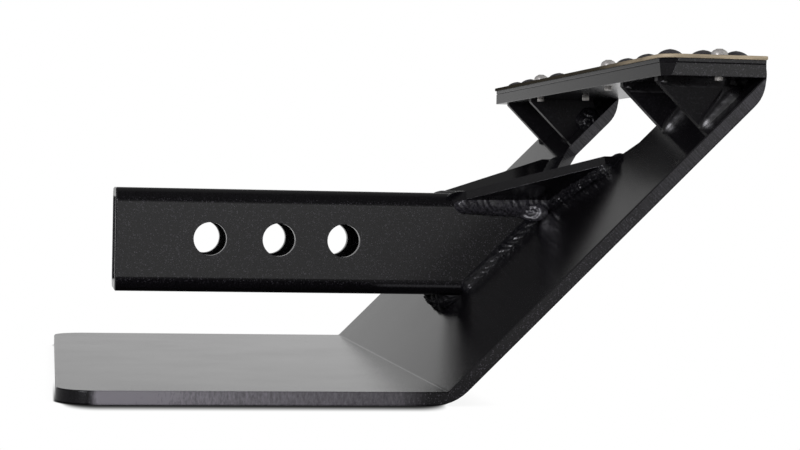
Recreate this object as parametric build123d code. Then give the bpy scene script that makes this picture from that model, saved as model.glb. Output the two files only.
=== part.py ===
from build123d import *
from math import cos, hypot, radians, sin, sqrt, tan
import os

# Driving dimensions, in millimetres and degrees.
# X runs along the shank from its open end towards the step, Y is across and Z is up.
# The shank's middle line is at Y = 0, Z = 0 until export moves the origin to the middle pin hole.

# Skid plate, bent from one flat sheet
plate_width = 355.6
plate_thickness = 6.0
skid_overhang = 28.0
skid_drop = 59.35
skid_corner_radius = 18.0
bend_x = 137.5
bend_angle = 45.0
bend_inner_radius = 2.0
bend_outer_radius = 22.0
edge_break = 0.5

# Window in the riser, which leaves the two legs
window_width = 144.0
window_sill = 138.0
window_corner_rise = 19.0
window_corner_run = 23.75

# Shank, a square receiver tube
shank_size = 50.8
shank_wall = 4.76
shank_corner_radius = 7.3
shank_rim_break = 0.6
pin_diameter = 16.26
pin_positions = (46.1, 79.95, 112.05)
pin_rise = 0.9

# Splayed wing gussets beside the shank
wing_thickness = 4.76
wing_angle = 25.0
wing_heel_x = 166.4
wing_shoulder_x = 172.4
wing_shoulder_y = 28.5
wing_toe_x = 232.7
wing_toe_y = 67.0

# Step
step_depth = 46.4
step_rear_lip = 0.4
step_underside = 78.6
step_thickness = 6.0
step_corner_low = 3.9
step_corner_high = 6.2
step_edge_break = 0.4
leg_end_radius = 17.0
backing_thickness = 1.7
backing_corner = 6.8

# Tread with its raised buttons
tread_thickness = 1.7
tread_overhang = 0.8
tread_corner_radius = 8.0
button_diameter = 9.4
button_top_diameter = 4.8
button_height = 3.1
button_row_pitch = 15.0
button_rows = 3
button_first_row = 6.6
button_column_pitch = 35.0
button_columns = 4
button_right_inset = 12.8
button_left_inset = 27.8

# Tread screws: distance behind the step's front edge, and in from its left (1) or right (-1) end
screw_places = (
    (6.5, 89.8, 1), (25.0, 117.8, 1), (26.8, 5.7, 1),
    (6.5, 118.8, -1), (25.0, 101.8, -1), (26.8, 5.7, -1),
)
screw_head_diameter = 7.6
screw_head_height = 2.4
screw_head_top_diameter = 4.8
screw_diameter = 4.0
screw_hole_gap = 0.2
screw_tip = 1.6

# Triangular gussets under the step
step_gusset_thickness = 4.76
step_gusset_inner_inset = 23.75
step_gusset_outer_inset = 18.55
step_gusset_setback = 2.75
step_gusset_nose = 1.5
step_gusset_corner_clip = 8.0

# Weld beads: leg lengths, and how far each face stands out past flat
side_bead_leg = 5.0
bottom_bead_leg = 10.0
top_bead_leg = 6.0
wing_root_bead_leg = 6.2
wing_face_bead_leg = 6.0
wing_crown_bead_leg = 4.5
gusset_riser_bead_leg = 6.0
gusset_step_bead_leg = 4.5
corner_bead_leg = 6.0
stitch_length = 14.0
bead_crown = 0.9
rear_bead_drop = 5.3
rear_bead_crown = 0.95
rear_bead_inset = 1.3

# Places worked out from the driving dimensions
half_width = plate_width / 2
half_shank = shank_size / 2
skid_top = -skid_drop
slope = radians(bend_angle)
step_top = step_underside + step_thickness
backing_top = step_top + backing_thickness
tread_top = backing_top + tread_thickness
outer_bend_x = bend_x + plate_thickness * tan(slope / 2)
step_corner_x = bend_x + (step_underside - skid_top) / tan(slope)
step_rear_x = step_corner_x + step_rear_lip
step_front_x = step_rear_x - step_depth
step_gusset_inner_face = window_width / 2 + step_gusset_inner_inset
step_gusset_outer_face = half_width - step_gusset_outer_inset
outer_leg_end_z = skid_top - plate_thickness + (step_rear_x - outer_bend_x) * tan(slope)
leg_end_middle_z = outer_leg_end_z + leg_end_radius * tan(slope / 2)
riser_length = (step_underside - skid_top) / sin(slope)

# The riser's inner face as a plane: its local X runs up the slope, its local Z points at the shank.
up_riser = Vector(cos(slope), 0, sin(slope))
off_riser = Vector(-sin(slope), 0, cos(slope))
riser_face = Plane(origin=(bend_x, 0, skid_top), x_dir=up_riser, z_dir=off_riser)

# The left wing's own directions: out along the wing, and square to its faces.
tilt = radians(wing_angle)
out_wing = Vector(0, cos(tilt), sin(tilt))
off_wing = Vector(0, -sin(tilt), cos(tilt))
wing_top = half_shank * (cos(tilt) - sin(tilt))
wing_bottom = wing_top - wing_thickness
shank_corner_middle = half_shank - shank_corner_radius
wing_root = shank_corner_middle * (cos(tilt) + sin(tilt)) + shank_corner_radius

reach = 400.0


def riser_x(z):
    """X of the riser's inner face at a height."""
    return bend_x + (z - skid_top) / tan(slope)


def wing_out(y, level):
    """Distance out along the wing of the point at a given Y and level in its thickness."""
    return (y + level * sin(tilt)) / cos(tilt)


def on_riser(up, across):
    """The point on the riser's inner face at a distance up the slope and a place across."""
    return riser_face.from_local_coords(Vector(up, across, 0))


def behind_riser():
    """Everything on the far side of the riser's inner face."""
    return riser_face * Pos(0, 0, -reach / 2) * Box(2 * reach, 2 * reach, reach)


def mirrored(shape):
    """The same shape on the right side."""
    return mirror(shape, about=Plane.XZ)


def prism(points, depth, plane):
    """A closed outline of straight lines, extruded from a plane."""
    return extrude(plane * make_face(Polyline(*points, close=True)), depth)


def plate_outline(front, rear, half, corner, level):
    """The step's outline at a level, with its right front corner cut off."""
    points = [(rear, -half), (rear, half), (front, half), (front, corner - half), (front + corner, -half)]
    return Pos(0, 0, level) * make_face(Polyline(*points, close=True))


def bead(start, end, toe_a, toe_b, crown=bead_crown):
    """A weld bead along a straight seam, between a toe on each of the two faces that it joins."""
    start = Vector(*start)
    along = Vector(*end) - start
    a = start + toe_a
    b = start + toe_b
    middle = (a + b) * 0.5
    bulge = middle + (middle - start).normalized() * crown
    outline = Wire([Line(start, a).edge(), ThreePointArc(a, bulge, b).edge(), Line(b, start).edge()])
    return Solid.extrude(Face(outline), along)


def round_corner(outline, corner, radius):
    """The outline with its corner nearest a point rounded."""
    nearest = outline.vertices().sort_by_distance((*corner, 0))[0]
    return fillet(nearest, radius)


def make_skid_plate():
    """The bent plate: side profile, window, corners and rounded leg ends."""
    bottom = skid_top - plate_thickness
    run_on = up_riser * (riser_length + plate_width)
    inner_end = Vector(bend_x, 0, skid_top) + run_on
    outer_end = Vector(outer_bend_x, 0, bottom) + run_on
    profile = make_face(Polyline(
        (-skid_overhang, bottom), (outer_bend_x, bottom), (outer_end.X, outer_end.Z),
        (inner_end.X, inner_end.Z), (bend_x, skid_top), (-skid_overhang, skid_top),
        close=True,
    ))
    profile = round_corner(profile, (bend_x, skid_top), bend_inner_radius)
    profile = round_corner(profile, (outer_bend_x, bottom), bend_outer_radius)
    plate = extrude(Plane.XZ * profile, half_width, both=True)
    sill_half = window_width / 2 - window_corner_run
    corner_height = window_sill + window_corner_rise
    window = [
        (window_sill, -sill_half), (corner_height, -window_width / 2),
        (riser_length + plate_width, -window_width / 2), (riser_length + plate_width, window_width / 2),
        (corner_height, window_width / 2), (window_sill, sill_half),
    ]
    plate -= extrude(riser_face * make_face(Polyline(*window, close=True)), 2 * plate_thickness, both=True)
    plate = fillet(plate.edges().filter_by(Axis.Z).sort_by(Axis.X)[:2], skid_corner_radius)
    sides = plate.faces().filter_by(Axis.Y).sort_by(Axis.Y)
    outline = sides[0].edges() + sides[-1].edges()
    plate = chamfer(outline.filter_by(lambda edge: edge.length > 2 * plate_thickness), edge_break)
    return plate & leg_end_limit()


def leg_end_limit():
    """Everything under the step's underside and inside the rounded ends of the legs."""
    corner = Vector(step_rear_x, 0, outer_leg_end_z)
    low = corner - up_riser * reach
    outline = make_face(Polyline(
        (step_rear_x, step_underside), (corner.X, corner.Z), (low.X, low.Z),
        (-reach, low.Z), (-reach, step_underside),
        close=True,
    ))
    outline = round_corner(outline, (corner.X, corner.Z), leg_end_radius)
    return extrude(Plane.XZ * outline, reach, both=True)


def make_shank_tube():
    """The square tube, cut at its far end to lie on the riser, with its pin holes."""
    outer = RectangleRounded(shank_size, shank_size, shank_corner_radius)
    bore_size = shank_size - 2 * shank_wall
    bore = RectangleRounded(bore_size, bore_size, shank_corner_radius - shank_wall)
    length = riser_x(half_shank) + shank_size
    tube = extrude(Plane.YZ * (outer - bore), length)
    tube = chamfer(tube.faces().sort_by(Axis.X)[0].edges(), shank_rim_break)
    for x in pin_positions:
        tube -= Pos(x, 0, pin_rise) * Rot(90, 0, 0) * Cylinder(pin_diameter / 2, 2 * shank_size)
    return tube - behind_riser()


def make_wing_gusset():
    """The left wing: a flat plate from the shank's top corner out to the riser."""
    plane = Plane(origin=(0, 0, 0), x_dir=(1, 0, 0), z_dir=off_wing).offset(wing_bottom)
    shoulder = wing_out(wing_shoulder_y, wing_top)
    toe = wing_out(wing_toe_y, wing_top)
    outline = [
        (wing_heel_x, wing_root), (wing_shoulder_x, shoulder), (wing_toe_x, toe),
        (wing_toe_x + shank_size, toe), (wing_toe_x + shank_size, wing_root),
    ]
    return prism(outline, wing_thickness, plane) - behind_riser()


def make_step_plate():
    """The flat step, with a corner cut that widens a little towards the top."""
    low = plate_outline(step_front_x, step_rear_x, half_width, step_corner_low, step_underside)
    high = plate_outline(step_front_x, step_rear_x, half_width, step_corner_high, step_top)
    step = loft([low.face(), high.face()], ruled=True)
    open_edges = step.faces().sort_by(Axis.Z)[-1].edges().sort_by(Axis.X)[:-1]
    return drill_for_screws(chamfer(open_edges, step_edge_break))


def make_backing_sheet():
    outline = plate_outline(step_front_x, step_rear_x, half_width, backing_corner, step_top)
    return drill_for_screws(extrude(outline, backing_thickness))


def tapered_button(base_diameter, top_diameter, height):
    """A low button with a tapered side, standing on Z = 0."""
    return Pos(0, 0, height / 2) * Cone(base_diameter / 2, top_diameter / 2, height)


def screw_spots():
    """X and Y of each tread screw."""
    return [(step_front_x + back, side * (half_width - inset)) for back, inset, side in screw_places]


def button_spots():
    """X and Y of each raised button, leaving out those that a screw head would touch."""
    room = (button_diameter + screw_head_diameter) / 2 + screw_hole_gap
    spots = []
    for row in range(button_rows):
        x = step_front_x + button_first_row + row * button_row_pitch
        for column in range(button_columns):
            inset = column * button_column_pitch
            for y in (button_right_inset + inset - half_width, half_width - button_left_inset - inset):
                if all(hypot(x - screw_x, y - screw_y) > room for screw_x, screw_y in screw_spots()):
                    spots.append((x, y))
    return spots


def make_tread_sheet():
    """The tread: a thin sheet with rows of raised buttons."""
    front = step_front_x - tread_overhang
    rear = step_rear_x + tread_overhang / 2
    half = half_width + tread_overhang
    middle = (front + rear) / 2
    sheet = Pos(middle, 0, backing_top + tread_thickness / 2) * Box(rear - front, 2 * half, tread_thickness)
    right_front_corner = sheet.edges().filter_by(Axis.Z).sort_by(Axis.X)[:2].sort_by(Axis.Y)[0]
    sheet = fillet(right_front_corner, tread_corner_radius)
    button = tapered_button(button_diameter, button_top_diameter, button_height)
    sheet += [Pos(x, y, tread_top) * button for x, y in button_spots()]
    return drill_for_screws(sheet)


def drill_for_screws(sheet):
    for x, y in screw_spots():
        drill = Cylinder(screw_diameter / 2 + screw_hole_gap, shank_size)
        sheet -= Pos(x, y, (step_underside + tread_top) / 2) * drill
    return sheet


def make_tread_screws():
    """Button-head screws whose tips stand out under the step, all in one group."""
    head = tapered_button(screw_head_diameter, screw_head_top_diameter, screw_head_height)
    length = tread_top - step_underside + screw_tip
    thread = Pos(0, 0, -length / 2) * Cylinder(screw_diameter / 2, length)
    screw = head + thread
    return [Pos(x, y, tread_top) * screw for x, y in screw_spots()]


def make_step_gusset(outward_face):
    """A triangular plate whose outward face is at the given Y."""
    front = step_front_x + step_gusset_setback
    top = step_underside
    nose = top - step_gusset_nose
    run = (riser_x(nose) - front) / 2
    clip = step_gusset_corner_clip
    riser_end = (step_corner_x - clip * cos(slope), top - clip * sin(slope))
    outline = [
        (front, top), (front, nose), (front + run, nose - run), riser_end, (step_corner_x - clip, top),
    ]
    depth = step_gusset_thickness if outward_face > 0 else -step_gusset_thickness
    return prism(outline, depth, Plane.XZ.offset(-outward_face))


def gusset_foot():
    """Distance up the riser of the lower corner of a step gusset."""
    front = step_front_x + step_gusset_setback
    nose = step_underside - step_gusset_nose
    run = (riser_x(nose) - front) / 2
    return (nose - run - skid_top) / sin(slope)


def make_gusset_beads(face, out):
    """The beads on a step gusset's outward face: up the riser, then along the step."""
    foot = on_riser(gusset_foot(), face)
    top = on_riser(riser_length - step_gusset_corner_clip, face)
    sideways = Vector(0, out, 0)
    riser_bead = bead(foot, top, sideways * gusset_riser_bead_leg, off_riser * gusset_riser_bead_leg)
    front = Vector(step_front_x + step_gusset_setback + step_gusset_nose, face, step_underside)
    back = Vector(step_corner_x - step_gusset_corner_clip - gusset_step_bead_leg, face, step_underside)
    step_bead = bead(front, back, sideways * gusset_step_bead_leg, Vector(0, 0, -gusset_step_bead_leg))
    return riser_bead + (step_bead - riser_bead)


def make_stitch(face, out):
    """A short bead on the face of an inner step gusset that looks at the window."""
    top = riser_length - step_gusset_corner_clip
    low = on_riser(top - stitch_length, face)
    high = on_riser(top, face)
    leg = gusset_riser_bead_leg
    return bead(low, high, Vector(0, out * leg, 0), off_riser * leg)


def make_rear_bead():
    """The bead over the rounded end of the left leg and the step's rear face, ground to a shallow arc."""
    low_z = step_underside - rear_bead_drop
    rise = leg_end_middle_z - low_z
    low_x = step_rear_x - leg_end_radius + sqrt(leg_end_radius ** 2 - rise ** 2)
    top = Vector(step_rear_x, 0, step_top)
    low = Vector(low_x, 0, low_z)
    chord = (top - low).normalized()
    crown = (top + low) * 0.5 + Vector(chord.Z, 0, -chord.X) * rear_bead_crown
    outline = Face(Wire([Line(low, top).edge(), ThreePointArc(top, crown, low).edge()]))
    start = window_width / 2 + rear_bead_inset
    lens = Solid.extrude(outline, Vector(0, half_width - rear_bead_inset - start, 0))
    return Pos(0, start, 0) * lens - skid_plate - step_plate


def wing_seam(distance_out, level):
    """The point where a level in the wing's thickness meets the riser."""
    z = distance_out * sin(tilt) + level * cos(tilt)
    y = distance_out * cos(tilt) - level * sin(tilt)
    return Vector(riser_x(z), y, z)


def wing_riser_bead(level, side, start_out, end_out, leg):
    """A bead along the wing's line on the riser, over it for side 1 and under it for side -1."""
    start = wing_seam(start_out, level)
    end = wing_seam(end_out, level)
    along = (end - start).normalized()
    on_wing = off_wing.cross(along).normalized()
    if on_wing.dot(off_riser) < 0:
        on_wing = on_wing * -1
    on_riser = off_riser.cross(along).normalized()
    if on_riser.dot(off_wing) * side < 0:
        on_riser = on_riser * -1
    return bead(start, end, on_wing * leg, on_riser * leg)


# Plates, shank and step
skid_plate = make_skid_plate()
shank_tube = make_shank_tube()
wing_left = make_wing_gusset()
step_plate = make_step_plate()

# Beads on the shank and the left wing
shank_low = Vector(riser_x(-half_shank), half_shank, -half_shank)
under_wing = Vector(0, half_shank, (wing_bottom + half_shank * sin(tilt)) / cos(tilt))
side_top_z = under_wing.Z - wing_root_bead_leg
side_bead = bead(
    shank_low + up_riser * (shank_corner_radius / 2),
    Vector(riser_x(side_top_z), half_shank, side_top_z),
    Vector(0, side_bead_leg, 0), off_riser * side_bead_leg,
)
bottom_bead = bead(
    Vector(shank_low.X, -half_shank, shank_low.Z), shank_low,
    Vector(-bottom_bead_leg, 0, 0), up_riser * -bottom_bead_leg,
)
top_z = Vector(riser_x(half_shank), shank_corner_middle, half_shank)
top_bead = bead(
    Vector(top_z.X, -top_z.Y, top_z.Z), top_z,
    Vector(-top_bead_leg, 0, 0), up_riser * top_bead_leg,
)
root_bead = bead(
    Vector(wing_heel_x, under_wing.Y, under_wing.Z),
    Vector(riser_x(half_shank), under_wing.Y, under_wing.Z),
    Vector(0, 0, -wing_root_bead_leg), out_wing * wing_root_bead_leg,
) - behind_riser() - shank_tube
side_bead = side_bead - root_bead

tip_out = wing_out(wing_toe_y, wing_top)
face_bead = wing_riser_bead(wing_bottom, -1, wing_root + bead_crown, tip_out, wing_face_bead_leg)
face_bead = face_bead - root_bead - shank_tube - side_bead
inner_bead = wing_riser_bead(wing_top, 1, wing_root, tip_out, wing_crown_bead_leg) - top_bead

groove = out_wing * (wing_root - wing_crown_bead_leg) + off_wing * (wing_top - shank_corner_radius / 2)
crown_a = Vector(0, shank_corner_middle, half_shank)
crown_b = out_wing * (wing_root + wing_crown_bead_leg) + off_wing * wing_top
crown_start = Vector(wing_heel_x, 0, 0) + groove
crown_bead = bead(
    crown_start, crown_start + Vector(riser_x(half_shank) - wing_heel_x + top_bead_leg, 0, 0),
    crown_a - groove, crown_b - groove, bead_crown,
)
crown_bead = crown_bead - shank_tube - wing_left - behind_riser() - top_bead - inner_bead

# Beads under the step
corner_inset = step_gusset_thickness + gusset_riser_bead_leg
step_corner_bead = bead(
    Vector(step_corner_x, step_gusset_inner_face + corner_inset, step_underside),
    Vector(step_corner_x, step_gusset_outer_face - step_gusset_thickness, step_underside),
    Vector(-corner_bead_leg, 0, 0), up_riser * -corner_bead_leg,
)

nodes = {
    "skid_plate": skid_plate,
    "shank_tube": shank_tube,
    "wing_gusset_left": wing_left,
    "wing_gusset_right": mirrored(wing_left),
    "step_plate": step_plate,
    "backing_sheet": make_backing_sheet(),
    "tread_sheet": make_tread_sheet(),
    "tread_screws": Compound(children=make_tread_screws()),
    "shank_bottom_weld": bottom_bead,
    "shank_top_weld": top_bead,
}
for name, solid in {
    "shank_side_weld": side_bead,
    "wing_root_weld": root_bead,
    "wing_face_weld": face_bead,
    "wing_inner_weld": inner_bead,
    "wing_crown_weld": crown_bead,
    "step_corner_weld": step_corner_bead,
    "step_rear_weld": make_rear_bead(),
}.items():
    nodes[f"{name}_left"] = solid
    nodes[f"{name}_right"] = mirrored(solid)

inner_gusset = step_gusset_inner_face + step_gusset_thickness
for place, face in {"inner": inner_gusset, "outer": step_gusset_outer_face}.items():
    gusset = make_step_gusset(face)
    beads = make_gusset_beads(face, 1)
    nodes[f"step_gusset_left_{place}"] = gusset
    nodes[f"step_gusset_right_{place}"] = mirrored(gusset)
    nodes[f"step_gusset_weld_left_{place}"] = beads
    nodes[f"step_gusset_weld_right_{place}"] = mirrored(beads)
stitch = make_stitch(step_gusset_inner_face, -1)
nodes["step_gusset_stitch_left"] = stitch
nodes["step_gusset_stitch_right"] = mirrored(stitch)

# The origin moves to the middle of the middle pin hole.
to_origin = Pos(-pin_positions[1], 0, -pin_rise)
os.makedirs("parts", exist_ok=True)
for name, solid in nodes.items():
    export_step(to_origin * solid, f"parts/{name}.step")
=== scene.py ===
"""Looks for a hitch skid plate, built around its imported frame.

Lengths in the geometry code are millimetres along the shank's own axes: X from its open end,
Y across and Z up from its middle line. place() turns them into the frame's metres.
"""
from math import cos, floor, pi, radians, sin, sqrt

import bmesh
import bpy
from mathutils import Matrix, Vector, noise


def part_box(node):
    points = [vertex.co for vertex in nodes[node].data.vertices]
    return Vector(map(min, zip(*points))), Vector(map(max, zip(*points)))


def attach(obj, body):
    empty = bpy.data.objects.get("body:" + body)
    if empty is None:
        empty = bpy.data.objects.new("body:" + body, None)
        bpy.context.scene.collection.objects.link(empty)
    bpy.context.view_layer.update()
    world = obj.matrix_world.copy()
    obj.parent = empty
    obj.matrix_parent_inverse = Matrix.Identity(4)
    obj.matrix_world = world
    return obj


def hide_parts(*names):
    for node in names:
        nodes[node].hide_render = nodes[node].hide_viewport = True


MM = 0.001

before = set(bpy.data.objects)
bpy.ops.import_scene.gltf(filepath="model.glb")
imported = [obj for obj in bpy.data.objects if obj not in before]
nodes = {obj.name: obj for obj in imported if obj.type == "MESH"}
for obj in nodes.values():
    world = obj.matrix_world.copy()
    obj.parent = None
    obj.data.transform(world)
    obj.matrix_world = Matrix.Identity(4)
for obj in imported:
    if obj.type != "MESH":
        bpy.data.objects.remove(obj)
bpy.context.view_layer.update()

# Sizes read from the frame
tube_low, tube_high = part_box("shank_tube")
plate_low, plate_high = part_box("skid_plate")
step_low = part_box("step_plate")[0]
tread_low, tread_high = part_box("tread_sheet")
wing_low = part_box("wing_gusset_left")[0]
gusset_low, gusset_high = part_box("step_gusset_left_inner")
outer_gusset_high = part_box("step_gusset_left_outer")[1]

shank_start = Vector((tube_low.x, 0, (tube_low.z + tube_high.z) / 2))


def in_mm(point):
    """A frame point in millimetres along the shank's own axes."""
    return (point - shank_start) / MM


def place(point):
    """A point in millimetres along the shank's own axes, in the frame's metres."""
    return shank_start + Vector(point) * MM


half_shank = in_mm(tube_high).y
riser_start = in_mm(tube_high).x - half_shank
half_width = in_mm(plate_high).y
plate_bottom = in_mm(plate_low).z
step_front = in_mm(step_low).x
step_underside = in_mm(step_low).z
wing_heel = in_mm(wing_low).x
gusset_front = in_mm(gusset_low).x
gusset_thickness = in_mm(gusset_high).y - in_mm(gusset_low).y
tread_front = in_mm(tread_low).x
tread_rear = in_mm(tread_high).x
tread_half = in_mm(tread_high).y

# Sizes that a box can't give
shank_corner_radius = 7.3
plate_thickness = 6.0
skid_corner_radius = 18.0
wing_thickness = 4.76
wing_angle = radians(25)
wing_toe_y = 67.0
gusset_clip = 8.0
gusset_nose = 1.5
button_height = 3.1
tread_thickness = 1.7

# Directions
slope = radians(45)
up_riser = Vector((cos(slope), 0, sin(slope)))
off_riser = Vector((-sin(slope), 0, cos(slope)))
out_wing = Vector((0, cos(wing_angle), sin(wing_angle)))
off_wing = Vector((0, -sin(wing_angle), cos(wing_angle)))
left = Vector((0, 1, 0))
down = Vector((0, 0, -1))
forward = Vector((-1, 0, 0))


def riser_x(z):
    """X of the riser's inner face at a height."""
    return riser_start + z


def on_riser(y, z):
    """The point of the riser's inner face at a Y and a height."""
    return Vector((riser_x(z), y, z))


crease_z = plate_bottom + plate_thickness
bend = place(on_riser(0, crease_z))


# Node graphs

class Graph:
    """Adds nodes to a node tree, and sets or links their inputs by name or number."""

    def __init__(self, tree):
        self.tree = tree
        tree.nodes.clear()

    def add(self, kind, inputs=None, **settings):
        """A node with its own settings, its inputs set to values or linked to sockets."""
        node = self.tree.nodes.new(kind)
        for name, value in settings.items():
            setattr(node, name, value)
        for name, value in (inputs or {}).items():
            if isinstance(value, bpy.types.NodeSocket):
                self.tree.links.new(value, node.inputs[name])
            else:
                node.inputs[name].default_value = value
        return node

    def position(self):
        """The shaded point, in the frame's metres."""
        return self.add("ShaderNodeTexCoord").outputs["Object"]

    def math(self, operation, *values, clamp=False):
        """The outcome of one operation."""
        node = self.add("ShaderNodeMath", dict(enumerate(values)), operation=operation, use_clamp=clamp)
        return node.outputs[0]

    def product(self, first, *others):
        """All the values multiplied."""
        for value in others:
            first = self.math("MULTIPLY", first, value)
        return first

    def mix(self, factor, a, b):
        """A number between a and b."""
        node = self.add("ShaderNodeMix", {"Factor": factor, "A": a, "B": b}, data_type="FLOAT")
        return node.outputs[0]

    def noise(self, vector, scale, detail=2.0, roughness=0.5, dimensions="3D"):
        """Smooth noise between 0 and 1, with scale as its number of cells to the metre."""
        node = self.add(
            "ShaderNodeTexNoise",
            {"Vector": vector, "Scale": scale, "Detail": detail, "Roughness": roughness},
            noise_dimensions=dimensions,
        )
        return node.outputs["Fac"]

    def spread(self, value, low, high, to_low=0.0, to_high=1.0, smooth=False):
        """Maps a value's range from low..high to another, and holds it there."""
        node = self.add(
            "ShaderNodeMapRange",
            {"Value": value, "From Min": low, "From Max": high, "To Min": to_low, "To Max": to_high},
            interpolation_type="SMOOTHSTEP" if smooth else "LINEAR",
        )
        return node.outputs["Result"]

    def blend(self, factor, a, b):
        """A colour between a and b."""
        node = self.add("ShaderNodeMix", {"Factor": factor}, data_type="RGBA")
        for socket, colour in ((node.inputs[6], a), (node.inputs[7], b)):
            if isinstance(colour, bpy.types.NodeSocket):
                self.tree.links.new(colour, socket)
            else:
                socket.default_value = (*colour, 1)
        return node.outputs[2]

    def dot(self, vector, direction):
        """A vector's length along a direction."""
        node = self.add("ShaderNodeVectorMath", {0: vector, 1: direction}, operation="DOT_PRODUCT")
        return node.outputs["Value"]


def new_material(name):
    """An empty material and its graph."""
    material = bpy.data.materials.new(name)
    material.use_nodes = True
    return material, Graph(material.node_tree)


def surface(graph, shader):
    """Shows a shader on the material's surface."""
    graph.add("ShaderNodeOutputMaterial", {"Surface": shader})


def worn_edge_normal(graph, radius_mm):
    """A normal that rounds every edge a little, as powder does when it melts over one."""
    return graph.add("ShaderNodeBevel", {"Radius": radius_mm * MM}, samples=6).outputs["Normal"]


# Materials

COAT_DARK = (0.004, 0.0036, 0.0043)
COAT_LIGHT = (0.0125, 0.0115, 0.0138)
COAT_SPECK = (0.12, 0.113, 0.13)
COAT_EDGE_HIGHLIGHT = (0.06, 0.057, 0.066)
CUT_GREY = (0.075, 0.071, 0.084)
SIDE_REFLECTION_GREY = (0.34, 0.324, 0.35)
COVE_DARK = (0.004, 0.0037, 0.0042)
COVE_LIGHT = (0.013, 0.012, 0.0135)
TREAD_DARK = (0.07, 0.066, 0.072)
TREAD_LIGHT = (0.17, 0.162, 0.17)
BRONZE_DARK = (0.045, 0.04, 0.028)
BRONZE_LIGHT = (0.95, 0.79, 0.55)
STEEL_DARK = (0.78, 0.75, 0.71)
STEEL_LIGHT = (0.98, 0.95, 0.9)

# Painted glint on the coat's specks: its brightness on faces turned along Y, on those faces under the step
# (dimmed as painted shade), and on all other faces
speck_glint_on_sides = 0.6
shaded_speck_glint_in_recess = 0.14
speck_glint_elsewhere = 0.06

# Most values of a fine noise lie between these
noise_low = 0.35
noise_high = 0.68


def coat_mottle(graph, position):
    """The powder coat's fine mottle."""
    return graph.noise(position, 1500, 3, 0.65)


def coat_grain(graph, position, side_speck_glint):
    """Colour and height of the powder coat: a fine mottle, with specks that carry a painted glint.

    The third argument is the specks' painted glint on faces turned along Y; on other faces it stays faint.
    """
    mottle = coat_mottle(graph, position)
    specks = graph.add("ShaderNodeTexVoronoi", {"Vector": position, "Scale": 2200})
    speck = graph.add("ShaderNodeSeparateColor", {"Color": specks.outputs["Color"]}).outputs["Red"]
    normal = graph.add("ShaderNodeNewGeometry").outputs["Normal"]
    side_on = graph.math("ABSOLUTE", graph.dot(normal, left))
    # Painted glint: the specks brighten on faces turned along Y, where they would catch the light.
    brightness = graph.spread(side_on, 0.9, 0.99, speck_glint_elsewhere, side_speck_glint)
    sparkle = graph.math("MULTIPLY", graph.spread(speck, 0.84, 1.0), brightness)
    colour = graph.blend(graph.spread(mottle, noise_low, noise_high), COAT_DARK, COAT_LIGHT)
    return graph.blend(sparkle, colour, COAT_SPECK), mottle


def painted_edge_highlight(graph, colour, rounded):
    """Lightens the coat along sharp edges, a painted highlight where they would catch the light."""
    normal = graph.add("ShaderNodeNewGeometry").outputs["Normal"]
    turn = graph.dot(rounded, normal)
    return graph.blend(graph.spread(turn, 0.99, 0.86, 0.0, 0.55), colour, COAT_EDGE_HIGHLIGHT)


def coat_bump(graph, height, rounded):
    """The coat's fine bumps, added to a rounded normal."""
    bump = graph.add("ShaderNodeBump", {
        "Strength": 0.35, "Distance": 0.03 * MM, "Height": height, "Normal": rounded,
    })
    return bump.outputs["Normal"]


def satin_coat(name, side_speck_glint, patch_scale, smoothest, roughest, ior):
    """Satin black powder coat with specks that carry a painted glint and a painted highlight along sharp
    edges, in patches of more and less gloss.
    """
    material, graph = new_material(name)
    position = graph.position()
    colour, mottle = coat_grain(graph, position, side_speck_glint)
    rounded = worn_edge_normal(graph, 0.45)
    patch = graph.noise(position, patch_scale, 3, 0.55)
    shader = graph.add("ShaderNodeBsdfPrincipled", {
        # Painted highlight along sharp edges.
        "Base Color": painted_edge_highlight(graph, colour, rounded),
        "Roughness": graph.spread(patch, 0.3, 0.7, smoothest, roughest),
        "IOR": ior,
        "Normal": coat_bump(graph, mottle, rounded),
    })
    surface(graph, shader.outputs[0])
    return material


def powder_coat():
    """The coat on most of the part."""
    return satin_coat("powder_coat", speck_glint_on_sides, 22, smoothest=0.15, roughest=0.19, ior=1.5)


def shaded_recess_coat():
    """The coat on the gussets under the step, darker there as painted shade: its specks' painted glint is
    dimmed, and it is rougher with a weaker reflection.
    """
    return satin_coat("shaded_recess_coat", shaded_speck_glint_in_recess, 40, smoothest=0.32, roughest=0.42, ior=1.28)


def cut_edges(graph, position, normal, on_slope):
    """1 on the bent plate's cut edges and 0 on its broad faces, with fine lines through its thickness."""
    across_flat = graph.math("ABSOLUTE", graph.dot(normal, Vector((0, 0, 1))))
    across_slope = graph.math("ABSOLUTE", graph.dot(normal, off_riser))
    cut = graph.spread(graph.mix(on_slope, across_flat, across_slope), 0.1, 0.3, 1, 0)
    y = graph.dot(position, left)
    on_flat = graph.add("ShaderNodeCombineXYZ", {"X": graph.dot(position, -forward), "Y": y})
    up_slope = graph.add("ShaderNodeCombineXYZ", {"X": graph.dot(position, up_riser), "Y": y})
    place_on_cut = graph.add(
        "ShaderNodeMix", {"Factor": on_slope, 4: on_flat.outputs[0], 5: up_slope.outputs[0]},
        data_type="VECTOR",
    )
    return cut, graph.noise(place_on_cut.outputs[1], 1700, 3, 0.65, "2D")


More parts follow.
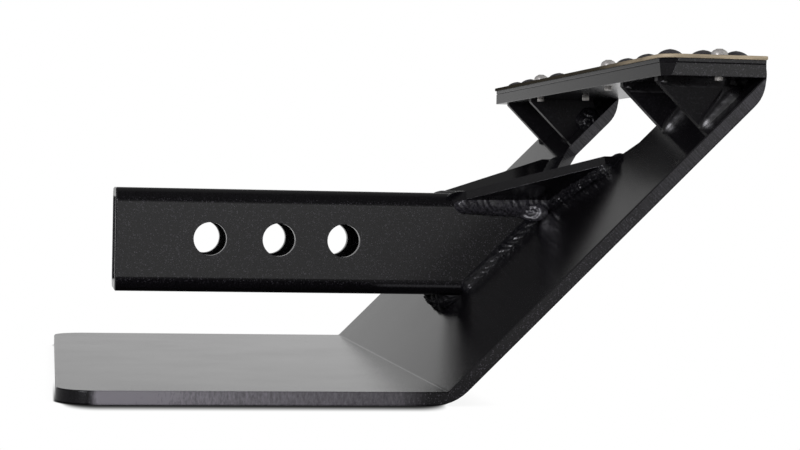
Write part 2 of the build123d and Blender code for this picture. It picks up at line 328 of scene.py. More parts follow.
def painted_side_reflection(graph, position, normal):
    """How much painted reflection lies on the skid's two flat sides, in upright blotches: none on the
    rounded front corner, a painted highlight just past it, fading towards the bend.
    """
    start = plate_low.x
    along = graph.dot(position, -forward)
    past_corner = graph.spread(along, start + 13 * MM, start + 20 * MM, smooth=True)
    before_bend = graph.spread(along, bend.x - 26 * MM, bend.x - 6 * MM, 1, 0, smooth=True)
    fading = graph.spread(along, start + 22 * MM, bend.x - 30 * MM, 1.0, 0.43)
    # Painted highlight: brightest just past the front corner.
    highlight_after_corner = graph.spread(along, start + 22 * MM, start + 55 * MM, 1.6, 0.97)
    side_on = graph.spread(graph.math("ABSOLUTE", graph.dot(normal, left)), 0.4, 0.6)
    upright = graph.add("ShaderNodeMapping", {"Vector": position, "Scale": (1, 1, 0.35)}).outputs[0]
    blotches = graph.spread(graph.noise(upright, 850, 4, 0.7), 0.34, 0.66, 0.66, 1.34)
    painted_reflection = graph.product(before_bend, fading, highlight_after_corner, side_on, blotches)
    return graph.math("MULTIPLY", painted_reflection, past_corner, clamp=True)


def plate_coat():
    """The same coat on the bent plate: its cut edges on the slope are grey with fine lines, lighter towards
    the top, and the flat's two sides carry a grey painted reflection.
    """
    material, graph = new_material("plate_coat")
    position = graph.position()
    colour, mottle = coat_grain(graph, position, speck_glint_on_sides)
    normal = graph.add("ShaderNodeNewGeometry").outputs["True Normal"]
    bisector = Vector((cos(slope / 2), 0, sin(slope / 2)))
    on_slope = graph.math("GREATER_THAN", graph.dot(position, bisector), bend.dot(bisector))
    cut, lines = cut_edges(graph, position, normal, on_slope)
    up_slope = graph.spread(graph.dot(position, up_riser), bend.dot(up_riser), plate_high.dot(up_riser))
    line_tone = graph.spread(lines, noise_low, noise_high, 0.2, 1.0)
    colour = graph.blend(graph.product(up_slope, up_slope, line_tone, cut), colour, CUT_GREY)
    # Painted reflection on the flat's two sides, in place of the light they would mirror.
    colour = graph.blend(painted_side_reflection(graph, position, normal), colour, SIDE_REFLECTION_GREY)
    line_height = graph.math("MULTIPLY", lines, graph.spread(up_slope, 0.2, 1, 0.4, 2.4))
    patch = graph.noise(position, 22, 3, 0.55)
    roughness = graph.spread(patch, 0.3, 0.7, 0.13, 0.15)
    cut_roughness = graph.math("MULTIPLY", cut, 0.06)
    shader = graph.add("ShaderNodeBsdfPrincipled", {
        "Base Color": colour,
        "Roughness": graph.math("ADD", roughness, cut_roughness),
        "Normal": coat_bump(graph, graph.mix(cut, mottle, line_height), worn_edge_normal(graph, 0.4)),
    })
    surface(graph, shader.outputs[0])
    return material


def weld_coat(name, dark, light, roughness, specular=0.5):
    """The coat where it has flowed over a weld, with a fine wrinkle that glints."""
    material, graph = new_material(name)
    position = graph.position()
    wrinkle = graph.noise(position, 900, 4, 0.62)
    colour = graph.blend(graph.spread(wrinkle, noise_low, noise_high), dark, light)
    bump = graph.add("ShaderNodeBump", {"Strength": 0.5, "Distance": 0.1 * MM, "Height": wrinkle})
    shader = graph.add("ShaderNodeBsdfPrincipled", {
        "Base Color": colour,
        "Roughness": graph.spread(graph.noise(position, 300, 2), 0.35, 0.65, roughness, roughness + 0.1),
        "Specular IOR Level": specular,
        "Normal": bump.outputs["Normal"],
    })
    surface(graph, shader.outputs[0])
    return material


def cove_coat():
    """The coat on the gussets' smooth welds, where it has pooled and shines softly."""
    material, graph = new_material("cove_coat")
    position = graph.position()
    mottle = coat_mottle(graph, position)
    waves = graph.noise(position, 160, 3, 0.55)
    bump = graph.add("ShaderNodeBump", {"Strength": 0.3, "Distance": 0.25 * MM, "Height": waves})
    shader = graph.add("ShaderNodeBsdfPrincipled", {
        "Base Color": graph.blend(graph.spread(mottle, noise_low, noise_high), COVE_DARK, COVE_LIGHT),
        "Roughness": graph.spread(waves, 0.3, 0.7, 0.24, 0.34),
        "Specular IOR Level": 1.0,
        "Normal": bump.outputs["Normal"],
    })
    surface(graph, shader.outputs[0])
    return material


def tread_face():
    """Dark anodised face of the tread and its buttons."""
    material, graph = new_material("tread_face")
    position = graph.position()
    scuffs = graph.noise(position, 320, 4, 0.6)
    bump = graph.add("ShaderNodeBump", {"Strength": 0.2, "Distance": 0.05 * MM, "Height": scuffs})
    shader = graph.add("ShaderNodeBsdfPrincipled", {
        "Base Color": graph.blend(graph.spread(scuffs, 0.3, 0.75), TREAD_DARK, TREAD_LIGHT),
        "Metallic": 0.35,
        "Roughness": graph.spread(scuffs, 0.2, 0.8, 0.2, 0.34),
        "Normal": bump.outputs["Normal"],
    })
    surface(graph, shader.outputs[0])
    return material


def tread_edge():
    """Bare cut edge of the tread: bronze-tinted and streaked lengthwise, with painted light that makes it
    brightest at its right end and dark towards its left.
    """
    material, graph = new_material("tread_edge")
    position = graph.position()
    lengthwise, upwards = 60, 900
    streaks = graph.add(
        "ShaderNodeMapping", {"Vector": position, "Scale": (lengthwise, lengthwise, upwards)},
    )
    streak = graph.noise(streaks.outputs[0], 1.0, 4, 0.6)
    patches = graph.noise(position, 45, 3, 0.6)
    tone = graph.math("ADD", graph.math("MULTIPLY", streak, 0.55), graph.math("MULTIPLY", patches, 0.45))
    y = graph.dot(position, left)
    # Painted light: bright near the right end, fading to dark across the tread.
    lit_near_half = graph.spread(y, plate_low.y + 16 * MM, plate_low.y + 110 * MM, 1.0, 0.05)
    lit_near_end = graph.math("MULTIPLY", lit_near_half, graph.spread(y, 0, plate_high.y, 1.0, 0.1))
    tone = graph.math("MULTIPLY", graph.spread(tone, 0.35, 0.65, 0.45, 1.0), lit_near_end)
    colour = graph.blend(tone, BRONZE_DARK, BRONZE_LIGHT)
    bump = graph.add("ShaderNodeBump", {"Strength": 0.25, "Distance": 0.05 * MM, "Height": streak})
    shader = graph.add("ShaderNodeBsdfPrincipled", {
        "Base Color": colour, "Roughness": 0.75, "IOR": 1.15, "Specular IOR Level": 0.15,
        "Normal": bump.outputs["Normal"],
    })
    surface(graph, shader.outputs[0])
    return material


def steel():
    """Bright stainless steel, turned and lightly brushed."""
    material, graph = new_material("screw_steel")
    position = graph.position()
    brushing = graph.noise(position, 1100, 3, 0.6)
    shader = graph.add("ShaderNodeBsdfPrincipled", {
        "Base Color": graph.blend(graph.spread(brushing, 0.3, 0.7), STEEL_DARK, STEEL_LIGHT),
        "Metallic": 0.35,
        "Roughness": graph.spread(brushing, 0.3, 0.7, 0.26, 0.4),
    })
    surface(graph, shader.outputs[0])
    return material


# Weld beads

# How a bead varies: its ripples' spacing, their height, its toes and its lumps
drift_pitches = 2.2
boldest_ripple = 2.1
toe_ripple = 0.07
toe_noise = 0.10
lump_share = 0.35
# Ripples from this height on pull the toes with them
ragged_from = 0.5


def bead_grid(start, end, toe_a, toe_b, crown, pitch, ripple, lag=1.0, skew=0.0, seed=0,
              swell=(1.0, 1.0), sharpness=0.75, evenness=0.8):
    """Vertices and faces of a rippled bead along a seam, between toes on the two faces it joins.

    crown is how far the bead domes out between its toes, pitch the spacing of its ripples and
    ripple their height. lag bends each ripple into a crescent and skew slants it, both as shares of
    a pitch. swell is the bead's size at its start and its end, as shares of its toes. With an
    evenness below 0.8 some ripples stand out and the rest lie flat.
    """
    along = (end - start).normalized()
    length = (end - start).length
    leg = (toe_a.length + toe_b.length) / 2
    outward = ((toe_a + toe_b) * 0.5).normalized()
    raggedness = min(1.0, ripple / ragged_from)
    fewest_steps, steps_to_a_ripple = 24, 9
    steps = max(fewest_steps, int(length / pitch * steps_to_a_ripple))
    strips = 16
    verts, faces = [], []
    for i in range(steps + 1):
        s = length * i / steps
        from_end = min(s, length - s) / leg
        fade = sqrt(max(0.0, 1 - (1 - min(from_end, 1)) ** 2))
        fade *= swell[0] + (swell[1] - swell[0]) * s / length
        drift = noise.noise(Vector((s / (drift_pitches * pitch), seed, 0.5)))
        seam = start + along * s
        for j in range(strips + 1):
            side = 2 * j / strips - 1
            dome = 1 - side * side
            phase = s / pitch + lag * dome + skew * side + drift
            crest = sin(pi * (phase - floor(phase)) ** sharpness)
            chance = noise.noise(Vector((floor(phase) * 1.7, seed * 3.1, 0.3)))
            bump = max(0.0, evenness + (boldest_ripple - evenness) * chance)
            toe_chance = noise.noise(Vector((s / pitch, seed + 7.7 * side, 2.5)))
            toe_wave = 1 + raggedness * (toe_ripple * crest + toe_noise * toe_chance)
            flat = toe_a * (1 - side) / 2 + toe_b * (1 + side) / 2
            lump = lump_share * ripple * noise.noise(Vector((1.3 * s, 1.1 * leg * side, seed)))
            lift = crown * dome + (ripple * bump * crest + lump) * sqrt(max(dome, 0))
            verts.append(seam + flat * (fade * toe_wave) + outward * (lift * fade))
        verts.append(seam)
    row = strips + 2
    for i in range(steps):
        for j in range(strips + 1):
            here, ahead = i * row + j, (i + 1) * row + j
            faces.append((here, ahead, ahead + 1, here + 1))
        first, last = i * row, i * row + strips + 1
        faces.append((last, last + row, first + row, first))
    return verts, faces


def puddle_grid(middle, normal, long_way, radii, height, turns, ridge):
    """Vertices and faces of a rounded puddle of weld, where a bead starts or stops.

    radii are its half length and half width. Its spiral ripple has a number of turns, and a ridge
    of a given height.
    """
    normal = normal.normalized()
    long_way = (long_way - normal * long_way.dot(normal)).normalized()
    short_way = normal.cross(long_way)
    rings, spokes = 14, 48
    raggedness, roundness = 0.08, 2.4
    lump = 1.2 * ridge
    verts = [middle + normal * height]
    for i in range(1, rings + 1):
        r = i / rings
        for j in range(spokes):
            angle = 2 * pi * j / spokes
            wobble = 1 + raggedness * noise.noise(Vector((cos(angle) * 1.5, sin(angle) * 1.5, 4.0)))
            wave = sin(2 * pi * (r * turns - j / spokes)) * ridge * (1 - r ** 4)
            rim = sqrt(max(0.0, 1 - r ** roundness))
            wave += lump * noise.noise(Vector((3 * r * cos(angle), 3 * r * sin(angle), 9.0)))
            flat = long_way * (radii[0] * cos(angle)) + short_way * (radii[1] * sin(angle))
            verts.append(middle + flat * (r * wobble) + normal * (height * rim + wave))
    faces = [(0, 1 + j, 1 + (j + 1) % spokes) for j in range(spokes)]
    for i in range(rings - 1):
        for j in range(spokes):
            here, beside = 1 + i * spokes + j, 1 + i * spokes + (j + 1) % spokes
            faces.append((here, here + spokes, beside + spokes, beside))
    faces.append(tuple(1 + (rings - 1) * spokes + j for j in reversed(range(spokes))))
    return verts, faces


def mirrored(grid):
    """The same grid on the other side of the middle plane."""
    verts, faces = grid
    return [Vector((v.x, -v.y, v.z)) for v in verts], [tuple(reversed(f)) for f in faces]


# Corners of a bead that are nearer to each other than this are joined
join_within = 0.002
# Edges that turn by more than these degrees stay sharp
sharp_on_welds = 60
sharp_on_tread = 35
sharp_on_screws = 30


def smooth_piece(name, mesh, materials, sharp_angle):
    """Links a mesh as an object, smooth but for edges sharper than an angle in degrees."""
    mesh.shade_smooth()
    mesh.set_sharp_from_angle(angle=radians(sharp_angle))
    for material in materials:
        mesh.materials.append(material)
    piece = bpy.data.objects.new(name, mesh)
    bpy.context.scene.collection.objects.link(piece)
    return piece


def weld_object(name, grids, material, replaced):
    """One piece made of several bead grids, standing for the frame's plain bead."""
    verts, faces = [], []
    for grid_verts, grid_faces in grids:
        offset = len(verts)
        verts += [place(v) for v in grid_verts]
        faces += [tuple(offset + i for i in face) for face in grid_faces]
    mesh = bpy.data.meshes.new(name)
    mesh.from_pydata(verts, [], faces)
    shell = bmesh.new()
    shell.from_mesh(mesh)
    bmesh.ops.remove_doubles(shell, verts=shell.verts, dist=join_within * MM)
    bmesh.ops.recalc_face_normals(shell, faces=shell.faces)
    shell.to_mesh(mesh)
    shell.free()
    piece = smooth_piece(name, mesh, [material], sharp_on_welds)
    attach(piece, "root")
    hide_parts(replaced)


def wing_out(y, level):
    """How far out along the wing a level in its thickness reaches a Y."""
    return (y + level * sin(wing_angle)) / cos(wing_angle)


def wing_seam(distance_out, level):
    """Where a level in the wing's thickness meets the riser, at a distance out along the wing."""
    y = distance_out * cos(wing_angle) - level * sin(wing_angle)
    z = distance_out * sin(wing_angle) + level * cos(wing_angle)
    return on_riser(y, z)


wing_top = half_shank * (cos(wing_angle) - sin(wing_angle))
wing_bottom = wing_top - wing_thickness
corner_middle = half_shank - shank_corner_radius
wing_root = corner_middle * (cos(wing_angle) + sin(wing_angle)) + shank_corner_radius
wing_tip = wing_out(wing_toe_y, wing_top)


def wing_face_legs(side, leg):
    """Toe directions of a bead over (1) or under (-1) the wing along the riser."""
    along = (wing_seam(wing_tip, 0) - wing_seam(wing_root, 0)).normalized()
    on_wing = off_wing.cross(along).normalized()
    if on_wing.dot(off_riser) < 0:
        on_wing = -on_wing
    down_riser = off_riser.cross(along).normalized()
    if down_riser.dot(off_wing) * side < 0:
        down_riser = -down_riser
    return on_wing * leg, down_riser * leg


def shank_beads():
    """Grids of the left side's beads on the shank and wing, by the start of their node's name."""
    under_wing_z = (wing_bottom + half_shank * sin(wing_angle)) / cos(wing_angle)
    heel = Vector((wing_heel, half_shank, under_wing_z))
    corner = Vector((riser_x(half_shank), half_shank, under_wing_z))
    low = on_riser(half_shank, -half_shank) + up_riser * 2.0
    high = on_riser(half_shank, under_wing_z - 5)
    root = bead_grid(
        heel - forward * 0.6, corner + forward * 5, down * 5.8, out_wing * 5.6,
        crown=2.1, pitch=4.0, ripple=0.85,
        lag=0.2, skew=1.1, seed=1, swell=(0.8, 1.15), sharpness=0.8, evenness=0.7,
    )
    root_end = Vector((206, half_shank + 5.2, 17.0))
    puddle = puddle_grid(
        root_end, normal=Vector((-0.5, 0.87, 0.2)), long_way=Vector((1, 0.3, -0.1)),
        radii=(7.6, 4.8), height=1.5, turns=1.8, ridge=0.2,
    )
    side = bead_grid(
        low, high, left * 4.8, off_riser * 4.6, crown=0.5, pitch=4.4, ripple=0.3,
        lag=0.6, skew=0.5, seed=2, evenness=0.15,
    )
    face = bead_grid(
        wing_seam(wing_root + 1, wing_bottom), wing_seam(wing_tip + 1, wing_bottom),
        *wing_face_legs(-1, 6.0), crown=0.9, pitch=3.0, ripple=0.42, lag=0.7, skew=0.6, seed=3,
    )
    inner = bead_grid(
        wing_seam(wing_root, wing_top), wing_seam(wing_tip, wing_top),
        *wing_face_legs(1, 4.5), crown=0.8, pitch=3.0, ripple=0.4, lag=0.8, seed=4,
    )
    groove = out_wing * (wing_root - 4.5) + off_wing * (wing_top - shank_corner_radius / 2)
    groove += Vector((wing_heel, 0, 0))
    toe_a = Vector((wing_heel, corner_middle, half_shank)) - groove
    toe_b = Vector((wing_heel, 0, 0)) + out_wing * (wing_root + 4.5) + off_wing * wing_top - groove
    run = Vector((riser_x(half_shank) - wing_heel - 3, 0, 0))
    lead = forward * 4.5
    crown = bead_grid(
        groove + lead, groove + run, toe_a, toe_b, crown=0.7, pitch=4.0, ripple=0.1, lag=0.6, seed=5,
    )
    return {
        "wing_root_weld": [root, puddle],
        "shank_side_weld": [side],
        "wing_face_weld": [face],
        "wing_inner_weld": [inner],
        "wing_crown_weld": [crown],
    }


def gusset_foot_z():
    """The height where a step gusset's slanting edge ends on the riser."""
    nose = step_underside - gusset_nose
    run = (riser_x(nose) - gusset_front) / 2
    return nose - run


def gusset_beads(face_y, seed):
    """Grids of the beads on a step gusset's outward face: up the riser, along the step, and their drops."""
    top_z = step_underside - gusset_clip * sin(slope)
    riser_bead = bead_grid(
        on_riser(face_y, gusset_foot_z()) - up_riser * 1.5, on_riser(face_y, top_z) + up_riser * 1.5,
        left * 6.0, off_riser * 6.5, crown=1.2, pitch=5.0, ripple=0.04,
        lag=0.9, seed=seed, swell=(0.5, 1.15),
    )
    front = Vector((gusset_front + 1.0, face_y, step_underside))
    back = Vector((riser_x(step_underside) - gusset_clip - 1.5, face_y, step_underside))
    step_bead = bead_grid(
        front, back, left * 4.0, down * 4.0, crown=-0.4, pitch=4.5, ripple=0.05, lag=0.8, seed=seed + 1,
    )
    foot = on_riser(face_y + 1.0, gusset_foot_z() + 1.0)
    blob = puddle_grid(
        foot, off_riser + left + down * 0.3, up_riser, radii=(1.4, 1.1), height=0.7, turns=1.0, ridge=0.02,
    )
    nose = Vector((gusset_front + 3.0, face_y + 0.8, step_underside - 2.0))
    drip = puddle_grid(
        nose, left + down * 0.6 + forward * 0.3, forward,
        radii=(1.8, 1.3), height=1.1, turns=1.0, ridge=0.02,
    )
    return [riser_bead, step_bead, blob, drip]


def build_welds(material, root, dull_shaded_weld, smooth):
    """Rippled beads in place of the frame's plain ones, in four tones of the coat: a lighter copy on the
    root bead as painted light, and a darker copy on the beads under the shank and the step as painted shade.
    """
    inner_face = in_mm(gusset_high).y
    outer_face = in_mm(outer_gusset_high).y
    stitch_z = step_underside - gusset_clip * sin(slope)
    stitch = bead_grid(
        on_riser(in_mm(gusset_low).y, stitch_z - 10), on_riser(in_mm(gusset_low).y, stitch_z),
        -left * 6.0, off_riser * 6.0, crown=0.9, pitch=3.0, ripple=0.5, lag=0.8, seed=21,
    )
    corner_start = Vector((riser_x(step_underside), inner_face + 6.0, step_underside))
    corner_end = Vector((riser_x(step_underside), outer_face - gusset_thickness, step_underside))
    corner = bead_grid(
        corner_start, corner_end, forward * 6.0, -up_riser * 6.0,
        crown=0.7, pitch=3.4, ripple=0.35, lag=0.8, seed=23,
    )
    left_side = shank_beads()
    left_side["step_gusset_stitch"] = [stitch]
    left_side["step_corner_weld"] = [corner]
    for name, grids in left_side.items():
        # The root bead gets the lighter copy of the weld coat as painted light, the step-corner bead the
        # darker copy as painted shade.
        coat = {"wing_root_weld": root, "step_corner_weld": dull_shaded_weld}.get(name, material)
        weld_object(f"rippled_{name}_left", grids, coat, f"{name}_left")
        weld_object(f"rippled_{name}_right", [mirrored(g) for g in grids], coat, f"{name}_right")
    for where, face, seed in (("inner", inner_face, 31), ("outer", outer_face, 41)):
        grids = gusset_beads(face, seed)
        name = f"step_gusset_weld_left_{where}"
        weld_object(f"rippled_{name}", grids, smooth, name)
        name = f"step_gusset_weld_right_{where}"
        weld_object(f"rippled_{name}", [mirrored(g) for g in grids], smooth, name)
    bottom = bead_grid(
        on_riser(-half_shank - 1, -half_shank), on_riser(half_shank + 1, -half_shank),
        forward * 10, -up_riser * 10, crown=0.8, pitch=3.8, ripple=1.1, lag=0.8, seed=51,
    )
    # The bottom bead under the shank gets the darker copy of the weld coat, as painted shade.
    weld_object("rippled_shank_bottom_weld", [bottom], dull_shaded_weld, "shank_bottom_weld")
    top = bead_grid(
        on_riser(-corner_middle, half_shank), on_riser(corner_middle, half_shank),
        forward * 6, up_riser * 6, crown=0.9, pitch=3.2, ripple=0.5, lag=0.8, seed=53,
    )
    weld_object("rippled_shank_top_weld", [top], material, "shank_top_weld")


# Tread and screws

tread_corner_radius = 8.0
button_foot_radius = 5.5
# No button stands where its middle would be nearer than this to a screw's
least_button_to_screw = 8.7
# A little lower than the frame's buttons
dome_height = 2.75
# Distances behind the step's front, and in from its right and left sides
button_rows = (6.6, 21.6, 36.6)
button_right_insets = (12.8, 47.8, 82.8, 117.8)
button_left_insets = (27.8, 62.8, 97.8, 132.8)
# Distance behind the step's front and in from its side, with 1 for left and -1 for right
screw_places = (
    (6.5, 89.8, 1), (25.0, 117.8, 1), (26.8, 5.7, 1),
    (6.5, 118.8, -1), (25.0, 101.8, -1), (26.8, 5.7, -1),
)
screw_head_radius = 3.8
screw_head_height = 3.0
front_screw_lift = 0.9
screw_radius = 2.0
screw_tip = 1.6
thread_pitch = 0.7
thread_depth = 0.32

tread_top = in_mm(tread_high).z - button_height
screw_spots = [(step_front + back, side * (half_width - inset)) for back, inset, side in screw_places]


def clear_of_screws(x, y):
    """Whether a button may stand at a place."""
    return all((Vector((x, y)) - Vector(spot)).length > least_button_to_screw for spot in screw_spots)


def lathe(mesh, middle, profile, spokes=40, radius_at=None):
    """Turns (radius, height) points round Z. radius_at may change a point's radius with its angle."""
    rings = []
    for index, (radius, height) in enumerate(profile):
        ring = []
        for j in range(spokes):
            angle = 2 * pi * j / spokes
            r = radius_at(index, radius, height, angle) if radius_at else radius
            ring.append(mesh.verts.new(place(middle + Vector((r * cos(angle), r * sin(angle), height)))))
        rings.append(ring)
    for low, high in zip(rings, rings[1:]):
        for j in range(spokes):
            k = (j + 1) % spokes
            mesh.faces.new((low[j], low[k], high[k], high[j]))
    mesh.faces.new(rings[-1])
    mesh.faces.new(tuple(reversed(rings[0])))


def button_profile():
    """(Radius, height) points of a low dome that starts just below the tread's face."""
    points = [(button_foot_radius + 0.1, -0.3), (button_foot_radius, 0.1)]
    for i in range(1, 9):
        share = i / 9
        points.append((button_foot_radius * (1 - share ** 1.6) ** 0.62, 0.1 + (dome_height - 0.1) * share))
    points.append((0.25, dome_height))
    return points


def finish_mesh(name, mesh, materials, replaced, sharp_angle):
    """One piece made from an edited mesh, standing for a node of the frame."""
    bmesh.ops.recalc_face_normals(mesh, faces=mesh.faces)
    data = bpy.data.meshes.new(name)
    mesh.to_mesh(data)
    mesh.free()
    piece = smooth_piece(name, data, materials, sharp_angle)
    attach(piece, "root")
    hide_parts(replaced)


def tread_outline():
    """The sheet's corners, with its right front corner rounded."""
    points = [(tread_rear, -tread_half), (tread_rear, tread_half), (tread_front, tread_half)]
    r = tread_corner_radius
    turns = [pi / 2 * i / 12 for i in range(13)]
    return points + [(tread_front + r - r * cos(a), r - tread_half - r * sin(a)) for a in turns]


def build_tread(face_material, edge_material):
    """The tread: a sheet with softened edges, and rows of pressed buttons clear of the screws."""
    mesh = bmesh.new()
    low_z = tread_top - tread_thickness
    lip = 0.25
    levels = ((low_z, lip), (low_z + lip, 0), (tread_top - lip, 0), (tread_top, lip))
    rings = []
    outline = tread_outline()
    middle_x = (tread_front + tread_rear) / 2
    for z, inset in levels:
        shrink_x = 1 - inset / (tread_rear - middle_x)
        shrink_y = 1 - inset / tread_half
        ring = [(middle_x + (x - middle_x) * shrink_x, y * shrink_y, z) for x, y in outline]
        rings.append([mesh.verts.new(place(corner)) for corner in ring])
    for low, high in zip(rings, rings[1:]):
        for j in range(len(outline)):
            k = (j + 1) % len(outline)
            mesh.faces.new((low[j], low[k], high[k], high[j])).material_index = 1
    mesh.faces.new(rings[-1])
    mesh.faces.new(tuple(reversed(rings[0])))
    for back in button_rows:
        x = step_front + back
        spots = [inset - half_width for inset in button_right_insets]
        spots += [half_width - inset for inset in button_left_insets]
        for y in spots:
            if clear_of_screws(x, y):
                lathe(mesh, Vector((x, y, tread_top)), button_profile())
    materials = [face_material, edge_material]
    finish_mesh("pressed_tread", mesh, materials, "tread_sheet", sharp_on_tread)


def hexagon(index, radius, height, angle):
    """Turns the socket's rings, which have a negative radius, into hexagons."""
    if radius >= 0:
        return radius
    turn = angle % (pi / 3) - pi / 6
    return -radius / cos(turn)


def screw_head_profile(lift):
    """(Radius, height) points of a button head with a socket, on a washer as thick as its lift.

    The socket's radii are negative, which hexagon() turns into flats.
    """
    rim = screw_head_radius
    side = 0.7
    socket = 1.25
    socket_floor = 1.0
    points = [(rim + 0.3, -lift), (rim + 0.3, 0)] if lift else []
    points += [(rim - 0.15, 0), (rim, 0.25), (rim - 0.05, side)]
    for i in range(1, 6):
        angle = pi / 2 * i / 7
        points.append(((rim - 0.1) * cos(angle), side + (screw_head_height - side) * sin(angle)))
    top = screw_head_height
    return points + [(-socket - 0.12, top), (-socket, top - 0.15), (-socket, socket_floor)]


def thread_radius(index, radius, height, angle):
    """A screw thread: the radius rises and falls with height and angle."""
    turn = height / thread_pitch - angle / (2 * pi)
    ridge = abs(2 * (turn - floor(turn)) - 1)
    return radius - thread_depth * ridge if index else radius * 0.6


def build_screws(material):
    """The six tread screws. Those of the front row stand on washers."""
    mesh = bmesh.new()
    low = step_underside - screw_tip - tread_top
    thread_start = low + 0.15
    rings = 46
    for x, y in screw_spots:
        lift = front_screw_lift if x - step_front < button_rows[0] else 0
        middle = Vector((x, y, tread_top))
        lathe(mesh, middle + Vector((0, 0, lift)), screw_head_profile(lift), 36, hexagon)
        shank = [(screw_radius - 0.2, low)]
        shank += [(screw_radius, thread_start * (1 - i / rings)) for i in range(rings + 1)]
        lathe(mesh, middle, shank, 24, thread_radius)
    finish_mesh("button_head_screws", mesh, [material], "tread_screws", sharp_on_screws)


# Stage, light and camera

def contact_shadow(graph, position):
    """How bright the floor stays: dark close to the flat skid's two sides, and little darker at its ends."""
    stand_end = bend.x + 2 * MM
    corner = skid_corner_radius * MM
    stand_middle = (plate_low.x + stand_end) / 2
    from_middle = graph.math("SUBTRACT", graph.dot(position, -forward), stand_middle)
    half_length = (stand_end - plate_low.x) / 2
    past_end = graph.math("SUBTRACT", graph.math("ABSOLUTE", from_middle), half_length - corner)
    past_end = graph.math("POWER", graph.math("MAXIMUM", past_end, 0), 2)
    y = graph.dot(position, left)
    past_side = graph.math("SUBTRACT", graph.math("ABSOLUTE", y), plate_high.y - corner)
    past_side = graph.math("POWER", graph.math("MAXIMUM", past_side, 0), 2)
    above_zero = 1e-9
    reach = graph.math("ADD", graph.math("ADD", past_end, past_side), above_zero)
    outside = graph.math("MAXIMUM", graph.math("SUBTRACT", graph.math("SQRT", reach), corner), 0)

    sideways = graph.math("DIVIDE", past_side, reach)
    end_width, side_width = 1.4 * MM, 26 * MM
    width = graph.spread(graph.math("POWER", sideways, 3), 0, 1, end_width, side_width)
    contact = graph.spread(graph.math("DIVIDE", outside, width), 0.02, 1, 0.06, 1.0, smooth=True)
    contact = graph.math("POWER", contact, 1.5)
    near = graph.spread(y, plate_low.y + 5 * MM, plate_low.y + 120 * MM, 1, 0, smooth=True)
    far = graph.spread(y, plate_high.y - 30 * MM, plate_high.y)
    strength = graph.math("MAXIMUM", near, far)
    lost = graph.math("MULTIPLY", graph.math("SUBTRACT", 1, contact), strength)
    return graph.math("SUBTRACT", 1, lost)


def floor_material():
    """White table top: bright to the camera, with a tight shadow where the plate stands."""
    material, graph = new_material("studio_floor")
    position = graph.position()
    around = graph.add("ShaderNodeAmbientOcclusion", {"Distance": 18 * MM}, samples=16, only_local=False)
    soft = graph.spread(around.outputs["AO"], 0.3, 0.8, 0.92, 1.0)
    shade = graph.math("MULTIPLY", contact_shadow(graph, position), soft)
    mirrored_level = graph.spread(graph.dot(position, left), plate_low.y, plate_high.y, 0.16, 0.68)
    rays = graph.add("ShaderNodeLightPath")
    glow = graph.add("ShaderNodeEmission", {
        "Color": graph.blend(shade, (0, 0, 0), (1, 1, 1)),
        "Strength": graph.mix(rays.outputs["Is Glossy Ray"], 1.0, mirrored_level),
    })
    paper = graph.add("ShaderNodeBsdfDiffuse", {"Color": (0.8, 0.8, 0.8, 1)})
    seen = graph.math("MAXIMUM", rays.outputs["Is Camera Ray"], rays.outputs["Is Glossy Ray"])
    seen = graph.math("MAXIMUM", seen, rays.outputs["Is Transmission Ray"])
    top = graph.add("ShaderNodeMixShader", {0: seen, 1: paper.outputs[0], 2: glow.outputs[0]})
    clear = graph.add("ShaderNodeBsdfTransparent")
    from_below = graph.add("ShaderNodeNewGeometry").outputs["Backfacing"]
    both = graph.add("ShaderNodeMixShader", {0: from_below, 1: top.outputs[0], 2: clear.outputs[0]})
    surface(graph, both.outputs[0])
    return material


def build_floor():
    """A white table top that ends a little in front of the part."""
    reach = 6.0
    front = -0.37
    z = plate_low.z - 0.05 * MM
    corners = [(-reach, front, z), (reach, front, z), (reach, reach, z), (-reach, reach, z)]
    mesh = bpy.data.meshes.new("floor")
    mesh.from_pydata(corners, [], [(0, 1, 2, 3)])
    mesh.materials.append(floor_material())
    stage = bpy.data.objects.new("floor", mesh)
    bpy.context.scene.collection.objects.link(stage)


# Brightness of the world's parts
backdrop_light = 0.57
window_light = 0.66
room_light = 0.065


def room_brightness(graph):
    """What the part sees by direction: a backdrop, a low window in front, light above, and a dim room."""
    direction = graph.add("ShaderNodeTexCoord").outputs["Generated"]
    parts = graph.add("ShaderNodeSeparateXYZ", {0: direction})
    x, y, z = (parts.outputs[axis] for axis in "XYZ")

    behind = graph.spread(y, -0.1, 0.35, 0.0, 1.0, smooth=True)
    near_horizon = graph.spread(z, 0.08, 0.35, 1.0, 0.13, smooth=True)
    past_left = graph.spread(x, -0.25, -0.18, 0.48, 1)
    to_the_right = graph.spread(x, -0.18, 0.1, 0.74, 1)
    backdrop = graph.product(behind, near_horizon, past_left, to_the_right, backdrop_light)

    in_front = graph.spread(y, -0.85, -0.6, 1.0, 0.0, smooth=True)
    low = graph.spread(z, 0.1, 0.3, 1.0, 0.0, smooth=True)
    beside = graph.spread(x, 0.14, 0.2, 1.0, 0.2, smooth=True)
    above = graph.spread(z, -0.04, 0.05, 0.2, 1.4, smooth=True)
    window = graph.product(in_front, low, graph.math("MAXIMUM", beside, above), window_light)

    high = graph.spread(z, 0.4, 0.6, smooth=True)
    not_behind = graph.spread(y, 0.0, 0.45, 0.24, 0.0)
    to_a_side = graph.spread(graph.math("ABSOLUTE", x), 0.3, 0.55, smooth=True)
    overhead = graph.product(high, not_behind, to_a_side)

    room = graph.math("ADD", graph.math("ADD", backdrop, window), graph.math("ADD", overhead, room_light))
    far_right = graph.spread(x, 0.4, 0.65, 0.0, 0.5, smooth=True)
    far_right = graph.math("MULTIPLY", far_right, graph.spread(z, 0, 0.15))
    return graph.math("MAXIMUM", room, far_right)


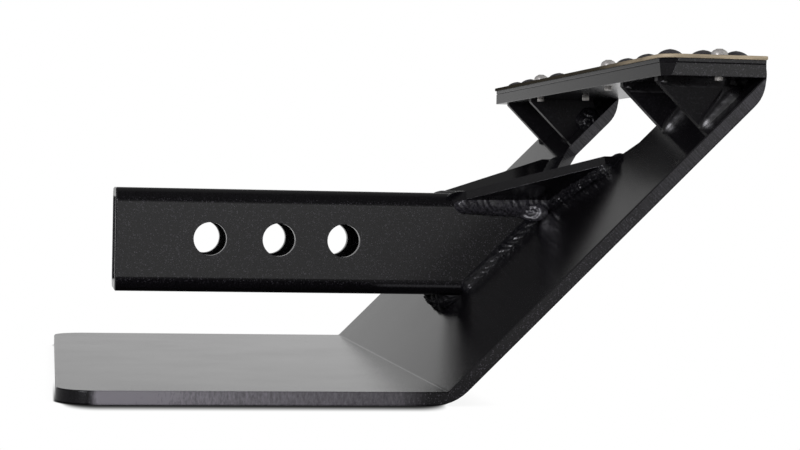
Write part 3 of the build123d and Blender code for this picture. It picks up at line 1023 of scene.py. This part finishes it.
def build_world():
    """A world that is white to the camera, and a studio to the part."""
    world = bpy.data.worlds.new("studio")
    world.use_nodes = True
    bpy.context.scene.world = world
    graph = Graph(world.node_tree)
    camera = graph.add("ShaderNodeLightPath").outputs["Is Camera Ray"]
    strength = graph.mix(camera, room_brightness(graph), 1.0)
    background = graph.add("ShaderNodeBackground", {"Color": (1, 1, 1, 1), "Strength": strength})
    graph.add("ShaderNodeOutputWorld", {"Surface": background.outputs[0]})


def build_lamp():
    """One large softbox, low in front of the part on its left in the picture."""
    lamp_place = Vector((-1.2, -1.3, 0.4))
    target = Vector((0.05, 0, 0))
    data = bpy.data.lights.new("front_left_box", "AREA")
    data.shape = "RECTANGLE"
    data.size = 0.6
    data.size_y = 0.75
    data.energy = 11
    data.color = (0.94, 0.93, 1.0)
    lamp = bpy.data.objects.new("front_left_box", data)
    lamp.location = lamp_place
    lamp.rotation_euler = (target - lamp_place).to_track_quat("-Z", "Y").to_euler()
    bpy.context.scene.collection.objects.link(lamp)


# The photograph's camera, fitted to the part's known edges: its place, its turn and its lens in mm
camera_place = (-31.98, -1087.45, 26.67)
camera_yaw = radians(9.196)
camera_pitch = radians(0.930)
camera_roll = radians(1.104)
camera_lens = 97.605
sensor_width = 36


def build_camera():
    """The photograph's view."""
    turn = Matrix.Rotation(-camera_yaw, 3, "Z")
    turn = turn @ Matrix.Rotation(pi / 2 - camera_pitch, 3, "X")
    turn = turn @ Matrix.Rotation(camera_roll, 3, "Z")
    data = bpy.data.cameras.new("camera")
    data.sensor_fit = "HORIZONTAL"
    data.sensor_width = sensor_width
    data.lens = camera_lens
    data.clip_start = 0.01
    data.clip_end = 50
    camera = bpy.data.objects.new("camera", data)
    camera.matrix_world = Matrix.Translation(place(camera_place)) @ turn.to_4x4()
    bpy.context.scene.collection.objects.link(camera)
    bpy.context.scene.camera = camera


def paint_frame(coat, plate, weld, recess):
    """Gives the frame's own nodes their materials."""
    for name, piece in nodes.items():
        if name == "skid_plate":
            material = plate
        elif name.startswith("step_rear_weld"):
            material = coat
        elif "weld" in name or "stitch" in name:
            material = weld
        elif name.startswith("step_gusset"):
            material = recess
        else:
            material = coat
        piece.data.materials.clear()
        piece.data.materials.append(material)


def main():
    """Paints the frame, and builds the finer pieces, the stage, the lamp and the camera."""
    weld = weld_coat("weld_coat", (0.004, 0.004, 0.005), (0.02, 0.019, 0.023), roughness=0.16)
    # A lighter copy of the weld coat for the root bead and its puddle, as painted light.
    root = weld_coat("lit_root_weld_coat", (0.012, 0.0115, 0.0135), (0.07, 0.066, 0.078), roughness=0.22)
    # A darker, rougher copy of the weld coat for the beads under the shank and the step, as painted shade.
    dull_shaded_weld = weld_coat(
        "dull_shaded_weld_coat", (0.003, 0.003, 0.0035), (0.008, 0.0077, 0.009), roughness=0.42, specular=0.15,
    )
    paint_frame(powder_coat(), plate_coat(), weld, shaded_recess_coat())
    build_welds(weld, root, dull_shaded_weld, cove_coat())
    build_tread(tread_face(), tread_edge())
    build_screws(steel())
    build_floor()
    build_world()
    build_lamp()
    build_camera()
    bpy.context.scene.view_settings.view_transform = "Standard"


main()
